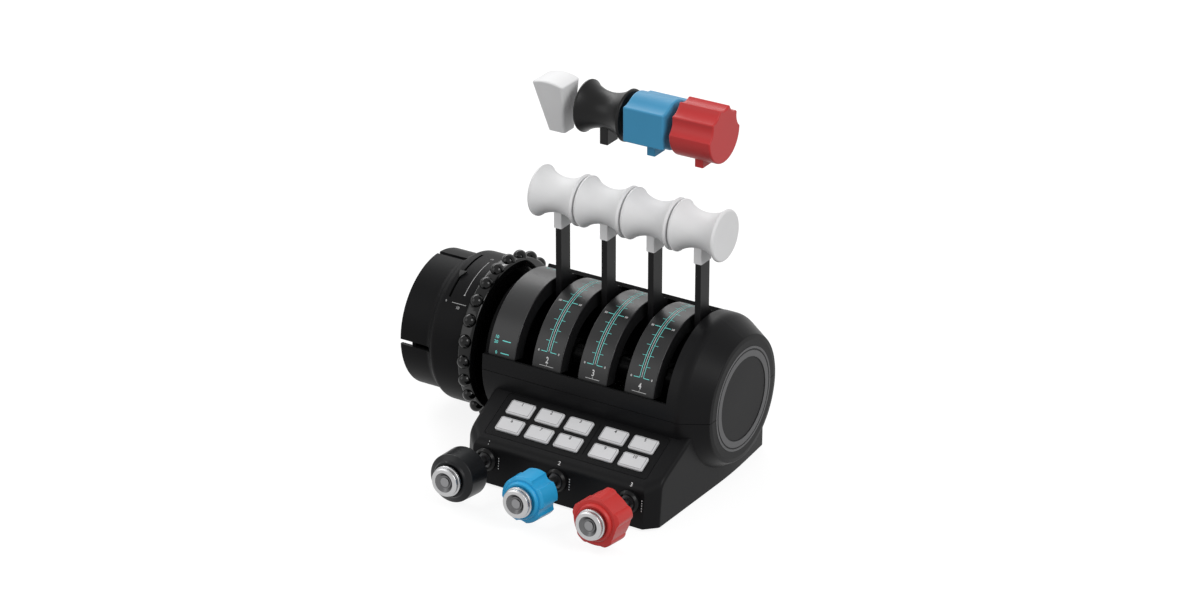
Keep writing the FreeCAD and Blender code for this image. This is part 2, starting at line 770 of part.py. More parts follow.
def block_grip(x, z):
    """A square-faced grip with round lobes above and below, and coves between them."""
    lobe_z = math.sqrt(block_lobe_r ** 2 - block_lobe_half ** 2)
    cove = (block_lobe_half + block_depth) / 2 + 0.6
    edges = []
    for side in (1, -1):
        left = vec(0, -side * block_depth, -side * block_face)
        right = vec(0, -side * block_depth, side * block_face)
        lobe_start = vec(0, -side * block_lobe_half, side * lobe_z)
        lobe_end = vec(0, side * block_lobe_half, side * lobe_z)
        next_left = vec(0, side * block_depth, side * block_face)
        edges.append(Part.makeLine(left, right))
        edges.append(Part.Arc(right, vec(0, -side * cove, side * (block_face + 0.4)),
                              lobe_start).toShape())
        edges.append(Part.Arc(lobe_start, vec(0, 0, side * block_lobe_r), lobe_end).toShape())
        edges.append(Part.Arc(lobe_end, vec(0, side * cove, side * (block_face + 0.4)),
                              next_left).toShape())
    body = Part.Face(Part.Wire(edges)).extrude(vec(2 * block_half, 0, 0))
    body.translate(vec(x - block_half, 0, z))
    return body


def scalloped_grip(x, z):
    """A drum grip, smooth below and scalloped over the top."""
    step = 180.0 / drum_grip_scallops
    points = []
    for i in range(drum_grip_scallops):
        start = on_ring(drum_grip_r, i * step)
        middle = on_ring(drum_grip_r - drum_grip_dip, (i + 0.5) * step)
        points.append((start, middle))
    points.append((on_ring(drum_grip_r, 180), on_ring(drum_grip_r, 270)))
    body = Part.Face(arc_outline(points)).extrude(vec(2 * block_half, 0, 0))
    body.translate(vec(x - block_half, 0, z))
    return body


spare_z = grip_z + spare_lift
spare_foot = stem_foot + spare_lift
save("spare_grip_wedge", wedge_grip(lever_x[0] + wedge_shift))
spare_spool = spool(lever_x[1], spare_z).fuse(stem(lever_x[1], spare_foot, stem_top + spare_lift))
save("spare_grip_spool", spare_spool.cut(arm_socket(lever_x[1], spare_foot)))
block = block_grip(lever_x[2], spare_z + block_lift)
scalloped = scalloped_grip(lever_x[3], spare_z + drum_grip_lift)
for name, x, body, ridge, ends in (
        ("spare_grip_block", lever_x[2], block, block_ridge_round, block_round),
        ("spare_grip_drum", lever_x[3], scalloped, drum_ridge_round, drum_grip_round)):
    body = rounded(body, ridge, lambda edge: edge.BoundBox.XLength > block_half)
    body = rounded(body, ends, lambda edge: edge.BoundBox.XLength < 0.01)
    grip = body.fuse(stem(x, spare_foot, stem_top + spare_lift))
    save(name, grip.cut(arm_socket(x, spare_foot)))


# ---- Trim wheel, spigot and drum -----------------------------------------------------------
hub_left = wheel_x - 9.5
hub_right = wheel_x + 7.5
spigot_end = bulkhead_x + bulkhead_thick
spigot = turned([(spigot_end, spigot_bore), (spigot_end, spigot_r),
                 (hub_right + wheel_side_gap, spigot_r),
                 (hub_right + wheel_side_gap, spigot_r + 8),
                 (barrel_left - neck_step, spigot_r + 8), (barrel_left - neck_step, neck_r, 0.6),
                 (barrel_left, neck_r), (barrel_left, spigot_bore)])

hub = tube(spigot_r + running_gap + wheel_hub_wall, spigot_r + running_gap, hub_left, hub_right)
rim_inner = wheel_r - wheel_rim_depth
rim = turned([(wheel_x - wheel_half, rim_inner), (wheel_x - wheel_half, wheel_r, wheel_round),
              (wheel_x + wheel_half, wheel_r, wheel_round), (wheel_x + wheel_half, rim_inner)])
web = tube(rim_inner + 1, spigot_r + wheel_hub_wall - 1, wheel_x - wheel_web / 2,
           wheel_x + wheel_web / 2)
bumps = []
for i in range(wheel_bumps):
    angle = bump_first_angle + i * 360 / wheel_bumps
    bumps.append(Part.makeSphere(bump_r, on_ring(bump_ring_r, angle, wheel_x), on_ring(1, angle)))
trim_wheel = rim.fuse([hub, web] + bumps)
save("trim_wheel", trim_wheel)


def drum_profile(inset):
    """Radius of the drum along X: the collar blends up to the part beside the wheel."""
    middle = (drum_blend_left + drum_blend_right) / 2
    rise = (drum_r + drum_collar_r) / 2
    collar = drum_collar_r - inset
    body = drum_r - inset
    points = [vec(drum_left, 0, collar), vec(drum_blend_left, 0, collar),
              vec(middle, 0, rise - inset), vec(drum_blend_right, 0, body),
              vec(drum_right, 0, body)]
    blend = Part.BSplineCurve()
    blend.interpolate(Points=[points[1], points[2], points[3]],
                      Tangents=[vec(1, 0, 0), vec(1, 0, 1), vec(1, 0, 0)],
                      TangentFlags=[True, False, True])
    edges = [Part.makeLine(points[0], points[1]), blend.toShape(),
             Part.makeLine(points[3], points[4]),
             Part.makeLine(points[4], vec(drum_right, 0, 0)),
             Part.makeLine(vec(drum_right, 0, 0), vec(drum_left, 0, 0)),
             Part.makeLine(vec(drum_left, 0, 0), points[0])]
    return Part.Face(Part.Wire(edges)).revolve(ORIGIN, X_AXIS, 360)


drum = drum_profile(0).cut(drum_profile(drum_wall))
drum = rounded(drum, 0.8, lambda edge: abs(edge.BoundBox.XMax - drum_left) < 0.01)
inner_r = drum_r - drum_wall
drum_web = tube(inner_r + 1, spigot_r + running_gap, drum_web_x, drum_web_x + drum_wall)
drum_hub = tube(spigot_r + 5, spigot_r + running_gap, drum_web_x, hub_left - wheel_side_gap)
drum = drum.fuse([drum_web, drum_hub])
for i in range(drum_slots):
    slot = box(drum_left - 1, drum_left + drum_slot_length, -drum_r - 5, -drum_collar_r + 8,
               -drum_slot_width / 2, drum_slot_width / 2)
    slot.rotate(ORIGIN, UP_AND_OVER, i * 360 / drum_slots)
    drum = drum.cut(slot)
arc_slot = sector(drum_r + 2, inner_r - 2, pointer_x - pointer_slot_width / 2,
                  pointer_x + pointer_slot_width / 2, pointer_slot_low, pointer_slot_high)
save("drum_cover", drum.cut(arc_slot))

bulkhead = rod(bulkhead_r, bulkhead_x, spigot_end)
connector = box(bulkhead_x - 4, bulkhead_x + 1, -13, 13, -6, 6)
connector = rounded(connector, 2.0, lambda edge: abs(edge.Vertexes[0].X - edge.Vertexes[-1].X) > 1)
connector_well = box(bulkhead_x - 5, bulkhead_x - 1, -11, 11, -4, 4)
bulkhead = bulkhead.fuse(connector).cut(connector_well)
bulkhead_screws = []
for i in range(3):
    at = on_ring(bulkhead_screw_ring, 90 + i * 120)
    hole = Part.makeCylinder(screw_r, 30, vec(bulkhead_x - 10, at.y, at.z), X_AXIS)
    bulkhead = bulkhead.cut(hole)
    spigot = spigot.cut(Part.makeCylinder(screw_r, screw_length, vec(bulkhead_x, at.y, at.z), X_AXIS))
    head = Part.makeCylinder(screw_head_r, screw_head_thick,
                             vec(bulkhead_x - screw_head_thick, at.y, at.z), X_AXIS)
    shank = Part.makeCylinder(screw_r - running_gap, screw_length - 1,
                              vec(bulkhead_x - 0.5, at.y, at.z), X_AXIS)
    slot = box(bulkhead_x - screw_head_thick - 1, bulkhead_x - screw_head_thick + 0.8,
               at.y - 0.4, at.y + 0.4, at.z - 5, at.z + 5)
    bulkhead_screws.append(head.fuse(shank).cut(slot))
for i in range(bulkhead_holes):
    at = on_ring(bulkhead_pcd / 2, i * 360 / bulkhead_holes)
    bulkhead = bulkhead.cut(Part.makeCylinder(bulkhead_hole_r, 10,
                                              vec(bulkhead_x - 5, at.y, at.z), X_AXIS))
save("wheel_spigot", spigot)
save("drum_bulkhead", bulkhead)
save("bulkhead_screws", *bulkhead_screws)

# trim pointer: a ring on the spigot, an arm inside the drum and an arrow outside its slot
ring = tube(spigot_r + running_gap + pointer_ring, spigot_r + running_gap,
            pointer_x - pointer_ring / 2, pointer_x + pointer_ring / 2)
arm = box(pointer_x - 1.5, pointer_x + 1.5, -inner_r + 1.5, -spigot_r - 2, -3, 3)
neck = box(pointer_x - pointer_neck / 2, pointer_x + pointer_neck / 2,
           -drum_r - pointer_lift - 0.3, -inner_r + 3, -1.5, 1.5)
arrow_floor = drum_r + pointer_lift
half_turn = math.degrees(pointer_length / 2 / drum_r)
arrow = sector(arrow_floor + pointer_thick, arrow_floor, pointer_x - pointer_width / 2,
               pointer_x + pointer_width / 2, -half_turn, half_turn)
tip = Part.Face(Part.makePolygon([vec(pointer_x - pointer_width / 2, 0, pointer_length / 2),
                                  vec(pointer_x + pointer_width / 2, 0, pointer_length / 2),
                                  vec(pointer_x, 0, -pointer_length / 2),
                                  vec(pointer_x - pointer_width / 2, 0, pointer_length / 2)]))
arrow = arrow.common(tip.extrude(vec(0, -beyond, 0)))
pointer = arm.fuse([neck, arrow])
pointer.rotate(ORIGIN, UP_AND_OVER, pointer_angle)
save("trim_pointer", pointer.fuse(ring))


# ---- Button bezel and buttons --------------------------------------------------------------
column_x = []
for column in range(5):
    offset = (column - 2) * button_pitch + (button_extra / 2 if column > 2 else -button_extra / 2)
    column_x.append(offset)
row_y = [-button_row_top, -button_row_top - button_row_pitch]
bezel = flat_plate(rounded_rectangle(bezel_half, -bezel_bottom, -bezel_top, bezel_corner),
                   -bezel_thick, 0)
hole_x = button_width / 2 + button_gap
hole_y = button_height / 2 + button_gap
flange_top = -bezel_thick - 0.15
flange_floor = flange_top - button_flange_thick
board_top = flange_floor - button_travel - 0.3
board_half = bezel_half - bezel_ledge - 1
button_number = 0
for y in row_y:
    for x in column_x:
        button_number += 1
        hole = flat_plate([(x - hole_x, y - hole_y, button_corner + button_gap),
                           (x + hole_x, y - hole_y, button_corner + button_gap),
                           (x + hole_x, y + hole_y, button_corner + button_gap),
                           (x - hole_x, y + hole_y, button_corner + button_gap)],
                          -bezel_thick - 1, 1)
        bezel = bezel.cut(hole)
        cap = flat_plate([(x - button_width / 2, y - button_height / 2, button_corner),
                          (x + button_width / 2, y - button_height / 2, button_corner),
                          (x + button_width / 2, y + button_height / 2, button_corner),
                          (x - button_width / 2, y + button_height / 2, button_corner)],
                         flange_top - 0.5, button_rise)
        cap = cap.makeChamfer(button_bevel, [edge for edge in cap.Edges
                                             if edge.BoundBox.ZMin > button_rise - 0.01])
        flange = box(x - button_width / 2 - button_flange, x + button_width / 2 + button_flange,
                     y - button_height / 2 - button_flange, y + button_height / 2 + button_flange,
                     flange_floor, flange_top)
        save("button_%d" % button_number, on_apron(cap.fuse(flange)))
peg_y = (-bezel_top - bezel_ledge - 2.6, -bezel_bottom + bezel_ledge + 2.6)
divider_x = (column_x[2] + column_x[3]) / 2
divider = box(divider_x - 0.25, divider_x + 0.25, row_y[1] - button_height / 2,
              row_y[0] + button_height / 2, -0.4, 1)
bezel = bezel.cut(divider)
board = flat_plate(rounded_rectangle(board_half, -bezel_bottom + bezel_ledge + 1,
                                     -bezel_top - bezel_ledge - 1, 1), board_top - board_thick,
                   board_top)
for y in peg_y:
    for x in ((column_x[0] + column_x[1]) / 2, divider_x, (column_x[3] + column_x[4]) / 2):
        bezel = bezel.fuse(post(board_peg_r, board_top, -bezel_thick + 0.2, x, y))
save("button_bezel", on_apron(bezel))
save("button_board", on_apron(board))


# ---- Push-pull controls --------------------------------------------------------------------
def petals(peak, valley, half_angle):
    """Arcs round a knob: convex lobes of 2 half_angle, with hollow or flat arcs between."""
    step = 360.0 / lobes
    points = []

    def at(radius, angle):
        turn = math.radians(angle)
        return vec(radius * math.cos(turn), radius * math.sin(turn), 0)

    for i in range(lobes):
        centre = 90 + i * step
        edge_r = peak if valley < flute_r + 0.1 else valley + 0.5
        points.append((at(edge_r, centre - half_angle), at(peak, centre)))
        points.append((at(edge_r, centre + half_angle), at(valley, centre + step / 2)))
    return arc_outline(points)


def knob_envelope(body_r, front_r):
    """The turned blank shared by the knobs, with its bore, boss and cap recess."""
    return lathe([(shaft_r + running_gap, knob_back), (body_r, knob_back, 1.2),
                  (front_r, knob_front, 0.8), (knob_boss_r + 1.2, knob_front + 2.2),
                  (knob_boss_r, knob_boss_front, 0.5), (knob_recess_r, knob_boss_front),
                  (knob_recess_r, knob_recess_floor), (knob_well_r, knob_recess_floor),
                  (knob_well_r, knob_well_floor), (shaft_r + running_gap, knob_well_floor)])


def lobed_knob(peak, valley, half_angle):
    blank = knob_envelope(peak + 0.05, peak - 0.5)
    wire = petals(peak, valley, half_angle)
    prism = Part.Face(wire).extrude(vec(0, 0, knob_front + 1.2 - knob_back))
    prism.translate(vec(0, 0, knob_back))
    boss = post(knob_boss_r + 1.2, knob_front - 5, knob_boss_front + 1)
    return blank.common(prism.fuse(boss))


bush = lathe([(shaft_r + running_gap, -bush_length), (bush_r, -bush_length),
              (bush_r, -wall - 2), (bush_flange_r, -wall - 2), (bush_flange_r, -wall - 0.05),
              (bush_r, -wall - 0.05), (bush_r, nut_height + 0.6), (shaft_r + running_gap, nut_height + 0.6)])
nut_wire = Part.makePolygon([vec(nut_across / math.sqrt(3) * math.cos(math.radians(60 * i)),
                                 nut_across / math.sqrt(3) * math.sin(math.radians(60 * i)), 0.05)
                             for i in range(7)])
nut = Part.Face(nut_wire).extrude(vec(0, 0, nut_height)).cut(post(bush_r + running_gap, -1, 10))
bush = Part.makeCompound([bush, nut])
collar = lathe([(collar_bore, 0), (collar_r, 0), (collar_r, collar_height * 0.55, 1.5),
                (collar_r - 1.6, collar_height, 0.8), (collar_bore, collar_height, 0.5)])
shaft = post(shaft_r, shaft_inner_end, shaft_outer_end)
shaft = shaft.makeChamfer(0.5, [edge for edge in shaft.Edges if edge.BoundBox.ZLength < 0.01])
cap = lathe([(0, cap_back - cap_stem), (cap_stem_r, cap_back - cap_stem), (cap_stem_r, cap_back),
             (cap_r, cap_back, 0.5), (cap_r, cap_back + 1.9, 0.5),
             (cap_face_r - 0.2, cap_back + 2.3), (cap_face_r - 0.2, cap_back + 2.9),
             (cap_face_r + 0.4, cap_back + 3.1), (cap_face_r + 0.4, cap_front - 0.6, 0.5),
             (cap_face_r - 0.8, cap_front, 0.5), (cap_dish_r, cap_front, 0.3),
             (cap_button_r + 1.4, cap_front - cap_dish_depth, 0.6),
             (cap_button_r, cap_front - cap_dish_depth), (cap_button_r, cap_front - 1.0, 0.3),
             (0, cap_front - 1.0)])
knobs = [knob_envelope(round_knob_r, round_knob_front_r),
         lobed_knob(lobe_r, flute_r, lobe_half_angle),
         lobed_knob(star_peak_r, star_valley_r, star_half_angle)]
save("shaft_bushes", *[on_front(bush, x) for x in control_x])
for i, x in enumerate(control_x):
    save("shaft_collar_%d" % (i + 1), on_front(collar, x))
    save("plunger_shaft_%d" % (i + 1), on_front(shaft, x))
    save("control_knob_%d" % (i + 1), on_front(knobs[i], x))
    save("release_cap_%d" % (i + 1), on_front(cap, x))
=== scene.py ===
import math

import bmesh
import bpy
from mathutils import Matrix, Vector


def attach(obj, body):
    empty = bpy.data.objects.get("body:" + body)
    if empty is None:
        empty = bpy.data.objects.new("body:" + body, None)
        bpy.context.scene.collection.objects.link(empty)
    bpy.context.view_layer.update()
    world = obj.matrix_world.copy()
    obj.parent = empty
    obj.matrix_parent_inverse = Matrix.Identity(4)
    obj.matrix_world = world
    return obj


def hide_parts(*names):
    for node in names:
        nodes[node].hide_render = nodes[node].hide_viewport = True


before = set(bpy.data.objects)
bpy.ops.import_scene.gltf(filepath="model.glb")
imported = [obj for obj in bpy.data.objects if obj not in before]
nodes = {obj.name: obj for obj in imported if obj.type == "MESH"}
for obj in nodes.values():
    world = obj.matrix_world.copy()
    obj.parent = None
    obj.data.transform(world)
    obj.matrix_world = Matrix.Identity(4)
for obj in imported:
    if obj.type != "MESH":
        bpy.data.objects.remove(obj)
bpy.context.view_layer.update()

mm = 0.001


# ---- Studio ----------------------------------------------------------------------------------
# A plain white sweep, a large lamp on the right, a weaker one on the left, a soft one and a narrow
# bright one behind, and a long lens that looks down on the pilot's side of the quadrant.
class Link:
    """A shader output that adds its own Math nodes when it is used in a sum."""

    def __init__(self, tree, socket):
        self.tree = tree
        self.socket = socket

    def maths(self, operation, first, second=0.0):
        return self.tree.node("ShaderNodeMath", {"operation": operation}, {0: first, 1: second})

    def __add__(self, other):
        return self.maths("ADD", self, other)

    def __mul__(self, other):
        return self.maths("MULTIPLY", self, other)

    def __lt__(self, other):
        return self.maths("LESS_THAN", self, other)

    def maximum(self, other):
        return self.maths("MAXIMUM", self, other)

    def root(self):
        return self.maths("SQRT", self)

    __radd__ = __add__
    __rmul__ = __mul__


class ShaderTree:
    """The nodes of one finish, or of the world."""

    def __init__(self, owner):
        owner.use_nodes = True
        self.owner = owner
        self.nodes = owner.node_tree.nodes
        self.links = owner.node_tree.links
        self.nodes.clear()

    def node(self, kind, settings=None, inputs=None, output=0):
        """Adds a node: its settings are set first, then the values or links of its sockets."""
        made = self.nodes.new(kind)
        for name, value in (settings or {}).items():
            setattr(made, name, value)
        for name, value in (inputs or {}).items():
            if isinstance(value, Link):
                self.links.new(value.socket, made.inputs[name])
            else:
                made.inputs[name].default_value = value
        return Link(self, made.outputs[output]) if made.outputs else None


def rays_that_see_the_sweep(tree):
    """1 for rays from the camera and for those mirrored or let through by a surface."""
    seen = tree.node("ShaderNodeLightPath", output=0)
    mirrored = Link(tree, seen.socket.node.outputs["Is Glossy Ray"])
    let_through = Link(tree, seen.socket.node.outputs["Is Transmission Ray"])
    return seen.maximum(mirrored).maximum(let_through)


world = bpy.data.worlds.new("sweep_light")
bpy.context.scene.world = world
world_tree = ShaderTree(world)
ambient = 0.60
white_where_seen = rays_that_see_the_sweep(world_tree) * (1.0 - ambient) + ambient
sky = world_tree.node("ShaderNodeBackground", {}, {
    "Color": (1, 1, 1, 1), "Strength": white_where_seen})
world_tree.node("ShaderNodeOutputWorld", {}, {"Surface": sky})

floor_mesh = bpy.data.meshes.new("floor")
floor_shape = bmesh.new()
bmesh.ops.create_grid(floor_shape, x_segments=1, y_segments=1, size=6.0)
floor_shape.to_mesh(floor_mesh)
floor_shape.free()
floor = bpy.data.objects.new("floor", floor_mesh)
bpy.context.scene.collection.objects.link(floor)
floor_tree = ShaderTree(bpy.data.materials.new("white_floor"))
floor_glow = 0.86
floor_paint = floor_tree.node("ShaderNodeBsdfDiffuse", {}, {"Color": (0.2, 0.2, 0.2, 1)})
floor_light = floor_tree.node("ShaderNodeEmission", {}, {
    "Color": (1, 1, 1, 1), "Strength": rays_that_see_the_sweep(floor_tree) * floor_glow})
floor_mix = floor_tree.node("ShaderNodeAddShader", {}, {0: floor_paint, 1: floor_light})
floor_tree.node("ShaderNodeOutputMaterial", {}, {"Surface": floor_mix})
floor_mesh.materials.append(floor_tree.owner)


def softbox(name, place, look_at, size, power):
    lamp = bpy.data.lights.new(name, "AREA")
    lamp.shape = "RECTANGLE"
    lamp.size = size[0]
    lamp.size_y = size[1]
    lamp.energy = power
    holder = bpy.data.objects.new(name, lamp)
    holder.location = place
    holder.rotation_euler = (Vector(look_at) - Vector(place)).to_track_quat("-Z", "Y").to_euler()
    bpy.context.scene.collection.objects.link(holder)


middle = Vector((-0.0276, 0.0, 0.114))
softbox("key_lamp", middle + Vector((1.3, -0.5, 1.0)), middle, (0.8, 0.8), 13.0)
softbox("fill_lamp", middle + Vector((-1.2, -1.4, 0.8)), middle, (1.2, 1.2), 7.0)
softbox("back_lamp", middle + Vector((-1.2, 1.0, 1.1)), middle, (1.8, 0.9), 10.0)
softbox("strip_lamp", middle + Vector((-1.3, 0.5, 1.2)), middle, (2.0, 0.12), 7.0)

camera_turn = math.radians(31.75)
camera_rise = math.radians(25.6)
camera_distance = 2.604
camera_back = Vector((math.sin(camera_turn) * math.cos(camera_rise),
                      -math.cos(camera_turn) * math.cos(camera_rise), math.sin(camera_rise)))
lens = bpy.data.cameras.new("camera")
lens.sensor_width = 36.0
lens.lens = 104.8
camera = bpy.data.objects.new("camera", lens)
camera.location = middle + camera_back * camera_distance
camera.rotation_euler = (-camera_back).to_track_quat("-Z", "Y").to_euler()
bpy.context.scene.collection.objects.link(camera)
bpy.context.scene.camera = camera
bpy.context.scene.view_settings.view_transform = "Standard"


# ---- Housing ---------------------------------------------------------------------------------
# Two moulded shells of black ABS with a fine spark-eroded grain, closed at a seam at axle height,
# on a flat base plate with rubber strips.  The end inlays are a satin grey disc in two rings.
grain_size = 0.35 * mm


def plastic(name, colour, roughness, gleam=0.3, depth=0.006 * mm):
    """Moulded plastic: a fine grain, and a colour and gloss that vary a little."""
    tree = ShaderTree(bpy.data.materials.new(name))
    place = tree.node("ShaderNodeTexCoord", {}, {}, output=3)
    texture = tree.node("ShaderNodeTexNoise", {}, {
        "Vector": place, "Scale": 1 / grain_size, "Detail": 2.0, "Roughness": 0.6})
    flow = tree.node("ShaderNodeTexNoise", {}, {"Vector": place, "Scale": 22.0, "Detail": 3.0})
    darker = tuple(c * 0.9 for c in colour) + (1,)
    lighter = tuple(min(1, c * 1.1) for c in colour) + (1,)
    shade = tree.node("ShaderNodeMix", {"data_type": "RGBA"}, {
        0: flow, 6: darker, 7: lighter}, output=2)
    gloss = flow * 0.08 + texture * 0.06 + (roughness - 0.07)
    bump = tree.node("ShaderNodeBump", {}, {"Strength": 0.5, "Distance": depth, "Height": texture})
    surface = tree.node("ShaderNodeBsdfPrincipled", {}, {
        "Base Color": shade, "Roughness": gloss, "Normal": bump, "Specular IOR Level": gleam})
    tree.node("ShaderNodeOutputMaterial", {}, {"Surface": surface})
    return tree.owner


def metal(name, colour, roughness):
    """Turned or drawn metal with a gloss that varies a little."""
    tree = ShaderTree(bpy.data.materials.new(name))
    place = tree.node("ShaderNodeTexCoord", {}, {}, output=3)
    flow = tree.node("ShaderNodeTexNoise", {}, {"Vector": place, "Scale": 900.0, "Detail": 3.0})
    gloss = flow * 0.15 + (roughness - 0.07)
    surface = tree.node("ShaderNodeBsdfPrincipled", {}, {
        "Base Color": colour + (1,), "Roughness": gloss, "Metallic": 1.0})
    tree.node("ShaderNodeOutputMaterial", {}, {"Surface": surface})
    return tree.owner


def dress(finish, *names):
    """Gives CAD nodes a finish."""
    for name in names:
        mesh = nodes[name].data
        mesh.materials.clear()
        mesh.materials.append(finish)


housing_black = plastic("housing_black", (0.006, 0.006, 0.0065), 0.38, 0.095)
dress(housing_black, "upper_shell", "lower_shell", "bottom_plate")
dress(plastic("disc_grey", (0.0075, 0.0075, 0.008), 0.42, 0.1), "end_disc")
dress(plastic("ring_grey", (0.065, 0.065, 0.068), 0.35, 0.3), "end_rings")
dress(plastic("strip_rubber", (0.02, 0.02, 0.02), 0.8, 0.2), "rubber_feet")
steel = metal("zinc_steel", (0.4, 0.4, 0.41), 0.25)
dress(steel, "base_screws", "usb_socket")
board_green = plastic("board_green", (0.02, 0.1, 0.04), 0.5)
dress(board_green, "main_board")


# ---- Scale panels ----------------------------------------------------------------------------
# Four arched covers between the levers, moulded in grey ABS with a smoother face.  The scales are
# pad-printed on them in teal and white: a double track with ticks for every tenth of the travel.
axle_height = 68 * mm
ink_floor = 0.02 * mm
ink_top = 0.07 * mm
panel_radius = 57.3 * mm
panel_middles = {2: -40 * mm, 3: 0.0, 4: 40 * mm}
scale_zero = 25.4                   # degrees above the front horizontal
scale_tenth = 8.47                  # degrees for a tenth of the travel
track_u = 1.6 * mm                  # from the middle of the scale to each line of the track
track_half = 0.17 * mm
tick_half = 0.13 * mm
long_tick_half = 0.22 * mm
fine_half = 0.15 * mm
teal = (0.20, 0.84, 0.78)
pale = (0.72, 0.72, 0.72)


def ink(name, colour):
    """Printing ink: flat colour, a little uneven, with no gloss of its own."""
    tree = ShaderTree(bpy.data.materials.new(name))
    place = tree.node("ShaderNodeTexCoord", {}, {}, output=3)
    specks = tree.node("ShaderNodeTexNoise", {}, {"Vector": place, "Scale": 2500.0, "Detail": 2.0})
    thin = tuple(c * 0.8 for c in colour) + (1,)
    shade = tree.node("ShaderNodeMix", {"data_type": "RGBA"}, {0: specks, 6: thin, 7: colour + (1,)},
                      output=2)
    surface = tree.node("ShaderNodeBsdfPrincipled", {}, {
        "Base Color": shade, "Roughness": specks * 0.1 + 0.5, "Specular IOR Level": 0.3})
    tree.node("ShaderNodeOutputMaterial", {}, {"Surface": surface})
    return tree.owner


def on_barrel(radius, x, angle):
    """Wraps flat artwork round the barrel axis: u along X, v up and over, w out of the surface."""
    def place(u, v, w):
        turn = math.radians(angle) + v / radius
        reach = radius + w
        return Vector((x + u, -reach * math.cos(turn), axle_height + reach * math.sin(turn)))
    return place


def bar(shape, place, u, v, longest=1.0 * mm):
    """Prints a bar from u[0] to u[1] and v[0] to v[1], cut into short lengths along v."""
    first = len(shape.verts)
    corners = bmesh.ops.create_cube(shape, size=1.0)["verts"]
    cuts = int(abs(v[1] - v[0]) / longest)
    if cuts:
        along = [edge for edge in {e for corner in corners for e in corner.link_edges}
                 if abs(edge.verts[0].co.y - edge.verts[1].co.y) > 0.5]
        bmesh.ops.subdivide_edges(shape, edges=along, cuts=cuts, use_grid_fill=True)
    shape.verts.ensure_lookup_table()
    for vert in shape.verts[first:]:
        vert.co = place((u[0] + u[1]) / 2 + vert.co.x * (u[1] - u[0]),
                        (v[0] + v[1]) / 2 + vert.co.y * (v[1] - v[0]),
                        (ink_floor + ink_top) / 2 + vert.co.z * (ink_top - ink_floor))


def numeral(shape, place, text, u, v, height, stretch=1.0):
    """Prints a plain number, centred on (u, v), with strokes a little fuller than the font's."""
    curve = bpy.data.curves.new("numeral", "FONT")
    curve.body = text
    curve.size = height * 1.4
    curve.offset = height * 0.02
    curve.align_x = "CENTER"
    curve.resolution_u = 3
    curve.extrude = (ink_top - ink_floor) / 2
    holder = bpy.data.objects.new("numeral", curve)
    letters = bpy.data.meshes.new_from_object(holder)
    first = len(shape.verts)
    shape.from_mesh(letters)
    shape.verts.ensure_lookup_table()
    for vert in shape.verts[first:]:
        vert.co = place(u + vert.co.x, v + (vert.co.y - height / 2) * stretch,
                        (ink_floor + ink_top) / 2 + vert.co.z)
    bpy.data.objects.remove(holder)
    bpy.data.curves.remove(curve)
    bpy.data.meshes.remove(letters)


def printed(name, shape, finish, body="root"):
    """Turns finished artwork into a piece that rides on a body."""
    bmesh.ops.remove_doubles(shape, verts=shape.verts, dist=0.001 * mm)
    bmesh.ops.recalc_face_normals(shape, faces=shape.faces)
    mesh = bpy.data.meshes.new(name)
    shape.to_mesh(mesh)
    shape.free()
    mesh.materials.append(finish)
    piece = bpy.data.objects.new(name, mesh)
    bpy.context.scene.collection.objects.link(piece)
    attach(piece, body)
    return piece


panel_grey = plastic("panel_grey", (0.0095, 0.0095, 0.0100), 0.35, 0.34, depth=0.002 * mm)
dress(panel_grey, *["scale_panel_%d" % i for i in (1, 2, 3, 4)])
teal_ink = ink("teal_ink", teal)
pale_ink = ink("pale_ink", pale)


def height_of(angle):
    """How far up the panel an angle lies from the foot of the scale."""
    return math.radians(angle - scale_zero) * panel_radius


foot_line = height_of(14.7)
for number, middle_x in panel_middles.items():
    place = on_barrel(panel_radius, middle_x, scale_zero)
    top = height_of(scale_zero + 10 * scale_tenth)
    track = bmesh.new()
    for side in (-1, 1):
        bar(track, place, (side * track_u - track_half, side * track_u + track_half), (0, top))
        for tenth in range(11):
            level = height_of(scale_zero + tenth * scale_tenth)
            if tenth % 5:
                bar(track, place, (side * 1.8 * mm, side * 4.8 * mm),
                    (level - tick_half, level + tick_half))
            else:
                bar(track, place, (side * 1.8 * mm, side * 6.6 * mm),
                    (level - long_tick_half, level + long_tick_half))
    printed("scale_track_%d" % number, track, teal_ink)
    figures = bmesh.new()
    bar(figures, place, (-fine_half, fine_half), (0.4 * mm, top))
    bar(figures, place, (-6 * mm, 6 * mm), (foot_line - fine_half, foot_line + fine_half))
    bar(figures, place, (-fine_half, fine_half), (height_of(14.9), height_of(16.0)))
    numeral(figures, place, str(number), 0, height_of(19.4), 3.6 * mm, 1.35)
    for tenth in (0, 5, 10):
        for side in (-1, 1):
            numeral(figures, place, str(10 * tenth), side * 8.7 * mm,
                    height_of(scale_zero + tenth * scale_tenth), 1.7 * mm)
    printed("scale_figures_%d" % number, figures, pale_ink)

place = on_barrel(panel_radius, 0, scale_zero)
dash_half = 0.35 * mm
detents = bmesh.new()
for angle in (15.0, 24.5, 108.0):
    bar(detents, place, (-80.4 * mm, -73.2 * mm),
        (height_of(angle) - dash_half, height_of(angle) + dash_half))
numeral(detents, place, "0", -84.2 * mm, height_of(15.0), 2.4 * mm)
numeral(detents, place, "10", -85.8 * mm, height_of(26.5), 2.4 * mm)
numeral(detents, place, "20", -85.8 * mm, height_of(22.8), 2.4 * mm)
numeral(detents, place, "30", -84.6 * mm, height_of(108.0), 2.0 * mm)
printed("detent_marks", detents, teal_ink)


